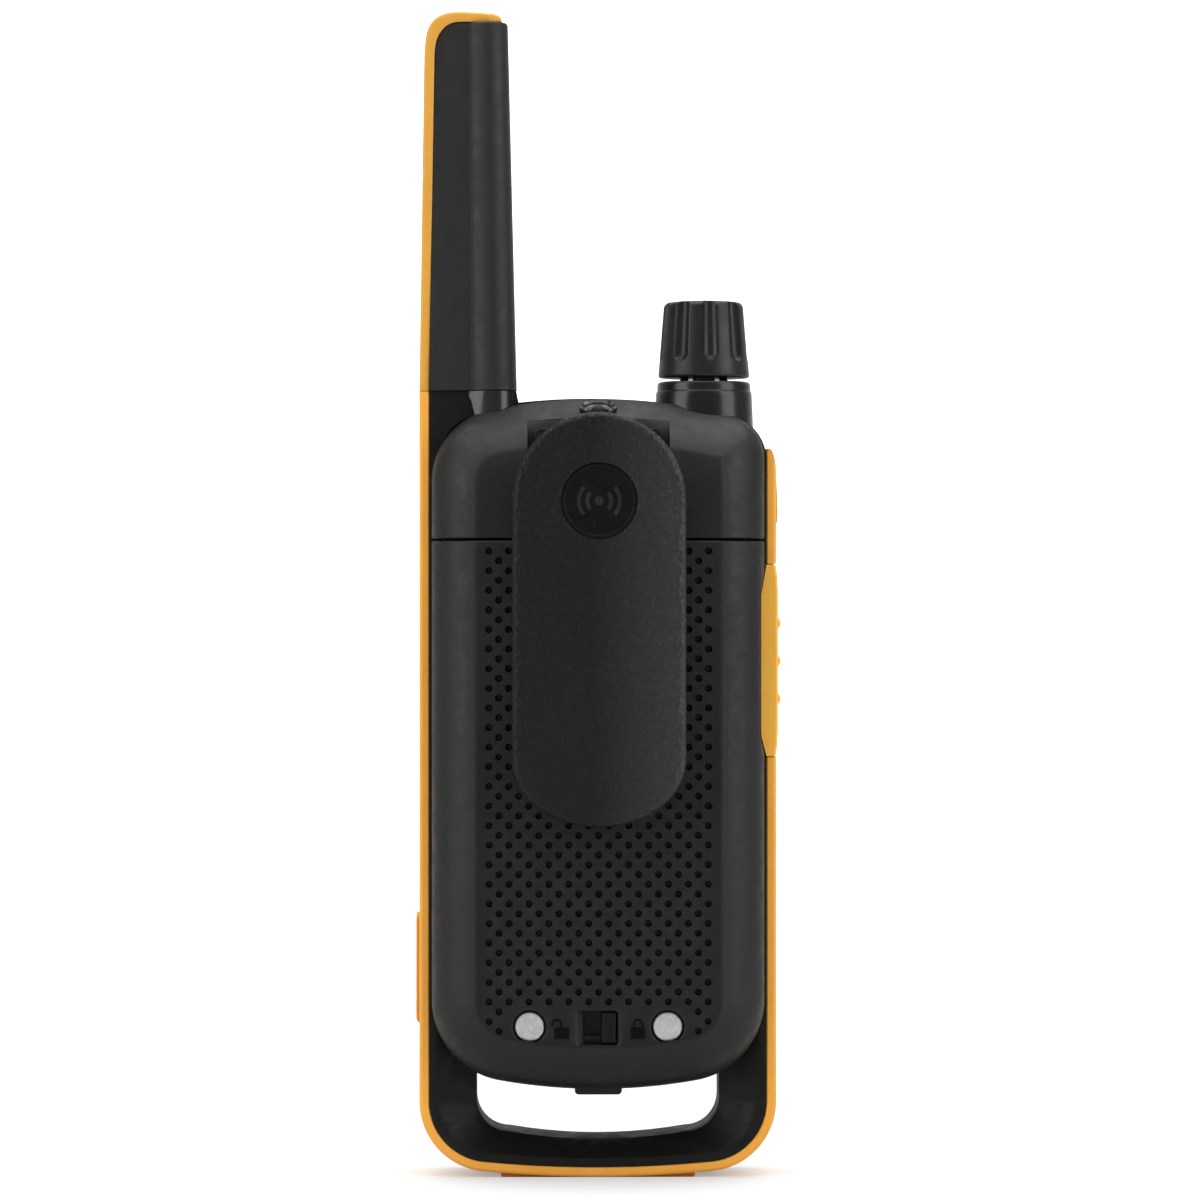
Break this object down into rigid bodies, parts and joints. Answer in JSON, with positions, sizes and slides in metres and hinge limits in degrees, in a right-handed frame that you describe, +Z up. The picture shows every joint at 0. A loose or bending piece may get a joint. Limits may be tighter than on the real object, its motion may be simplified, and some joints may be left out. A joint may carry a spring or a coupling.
{
  "type": "two way radio",
  "caption": "Handheld two way radio with a fixed antenna, turning volume knob, side talk key, spring belt clip, strap loop and a sliding battery door.",
  "frame": {"origin": "on the resting plane under the foot pad, on the body's centre line, close to the parting plane between the front and rear shells", "axes": "+Z up along the antenna, -Y out of the front face with display and speaker, +Y out of the back with belt clip and battery door, +X the antenna side"},
  "size_m": [0.0622, 0.0352, 0.1984],
  "materials": {
    "housing_black": "fine moulded grain",
    "rear_black": "fine moulded grain",
    "bumper_yellow": "satin soft-touch",
    "foot_orange": "matte",
    "talk_key_yellow": "satin",
    "light_key_pale": "satin",
    "port_rubber": "satin",
    "clip_black": "leather-like grain",
    "clip_base_black": "satin",
    "badge_gloss": "high gloss",
    "lock_black": "satin",
    "contact_metal": "turned",
    "spring_steel": "bright wire",
    "pin_steel": "ground",
    "antenna_black": "satin",
    "knob_black": "satin",
    "collar_gloss": "gloss",
    "torch_chrome": "bright",
    "led_lens": "clear",
    "display_glass": "gloss",
    "display_grey": "satin",
    "front_key_rubber": "satin",
    "membrane": "matte",
    "seal_rubber": "matte",
    "chassis_grey": "satin",
    "cell_sleeve": "printed sleeve without print",
    "board_green": "solder mask",
    "chip_black": "moulded",
    "shield_metal": "tinned",
    "speaker_black": "matte",
    "speaker_metal": "plated",
    "antenna_core_white": "moulded",
    "copper": "enamelled wire"
  },
  "bodies": {
    "housing": {"front_housing": "housing_black", "bumper_rim": "bumper_yellow", "foot_pad": "foot_orange", "rear_housing": "rear_black", "battery_chassis": "chassis_grey", "battery_cells": "cell_sleeve", "battery_contacts": "contact_metal", "battery_springs": "spring_steel", "battery_seal": "seal_rubber", "housing_seal": "seal_rubber", "housing_screws": "pin_steel", "antenna_cover": "antenna_black", "antenna_trim": "bumper_yellow", "antenna_core": "antenna_core_white", "antenna_coil": "copper", "antenna_feed": "copper", "knob_collar": "collar_gloss", "volume_switch": "chip_black", "keypad_membrane": "membrane", "display_window": "display_glass", "display_module": "display_grey", "speaker_cone": "speaker_black", "speaker_frame": "speaker_metal", "speaker_mesh": "speaker_black", "microphone": "speaker_black", "main_board": "board_green", "board_chips": "chip_black", "shield_can": "shield_metal", "usb_port": "shield_metal", "accessory_jack": "chip_black", "side_switches": "chip_black", "side_flex": "board_green", "torch_bezel": "torch_chrome", "torch_reflector": "torch_chrome", "torch_led": "led_lens"},
    "battery_door": {"battery_door": "rear_black", "charge_contacts": "contact_metal"},
    "door_lock": {"door_lock": "lock_black"},
    "volume_knob": {"volume_knob": "knob_black", "volume_shaft": "pin_steel"},
    "ptt_button": {"ptt_button": "talk_key_yellow"},
    "light_button": {"light_button": "light_key_pale"},
    "port_cover": {"port_cover": "port_rubber"},
    "key_up": {"key_up": "front_key_rubber"},
    "key_down": {"key_down": "front_key_rubber"},
    "key_menu": {"key_menu": "front_key_rubber"},
    "key_call": {"key_call": "front_key_rubber"},
    "clip_base": {"clip_base": "clip_base_black", "clip_pin": "pin_steel", "clip_spring": "spring_steel"},
    "belt_clip": {"belt_clip": "clip_black", "clip_badge": "badge_gloss"}
  },
  "joints": [
    {"name": "volume_turn", "type": "hinge", "parent": "housing", "child": "volume_knob", "pos_m": [-0.0182, -0.003, 0.14], "axis": [0, 0, -1], "range_deg": [0, 300]},
    {"name": "ptt_press", "type": "slide", "parent": "housing", "child": "ptt_button", "axis": [1, 0, 0], "range_m": [0, 0.001], "stiffness_N_per_m": 400},
    {"name": "light_press", "type": "slide", "parent": "housing", "child": "light_button", "axis": [1, 0, 0], "range_m": [0, 0.0006], "stiffness_N_per_m": 100},
    {"name": "key_up_press", "type": "slide", "parent": "housing", "child": "key_up", "axis": [0, 1, 0], "range_m": [0, 0.0006], "stiffness_N_per_m": 100},
    {"name": "key_down_press", "type": "slide", "parent": "housing", "child": "key_down", "axis": [0, 1, 0], "range_m": [0, 0.0006], "stiffness_N_per_m": 100},
    {"name": "key_menu_press", "type": "slide", "parent": "housing", "child": "key_menu", "axis": [0, 1, 0], "range_m": [0, 0.0006], "stiffness_N_per_m": 100},
    {"name": "key_call_press", "type": "slide", "parent": "housing", "child": "key_call", "axis": [0, 1, 0], "range_m": [0, 0.0006], "stiffness_N_per_m": 100},
    {"name": "clip_slide", "type": "slide", "parent": "housing", "child": "clip_base", "axis": [0, 0, 1], "range_m": [0, 0.022]},
    {"name": "clip_swing", "type": "hinge", "parent": "clip_base", "child": "belt_clip", "pos_m": [0, 0.015, 0.1195], "axis": [1, 0, 0], "range_deg": [0, 18], "stiffness_Nm_per_rad": 0.3},
    {"name": "door_slide", "type": "slide", "parent": "housing", "child": "battery_door", "axis": [0, 0, -1], "range_m": [0, 0.012]},
    {"name": "lock_slide", "type": "slide", "parent": "battery_door", "child": "door_lock", "axis": [1, 0, 0], "range_m": [0, 0.003]},
    {"name": "port_cover_swing", "type": "hinge", "parent": "housing", "child": "port_cover", "pos_m": [0.0299, -0.0025, 0.0272], "axis": [0, 1, 0], "range_deg": [0, 110]}
  ]
}
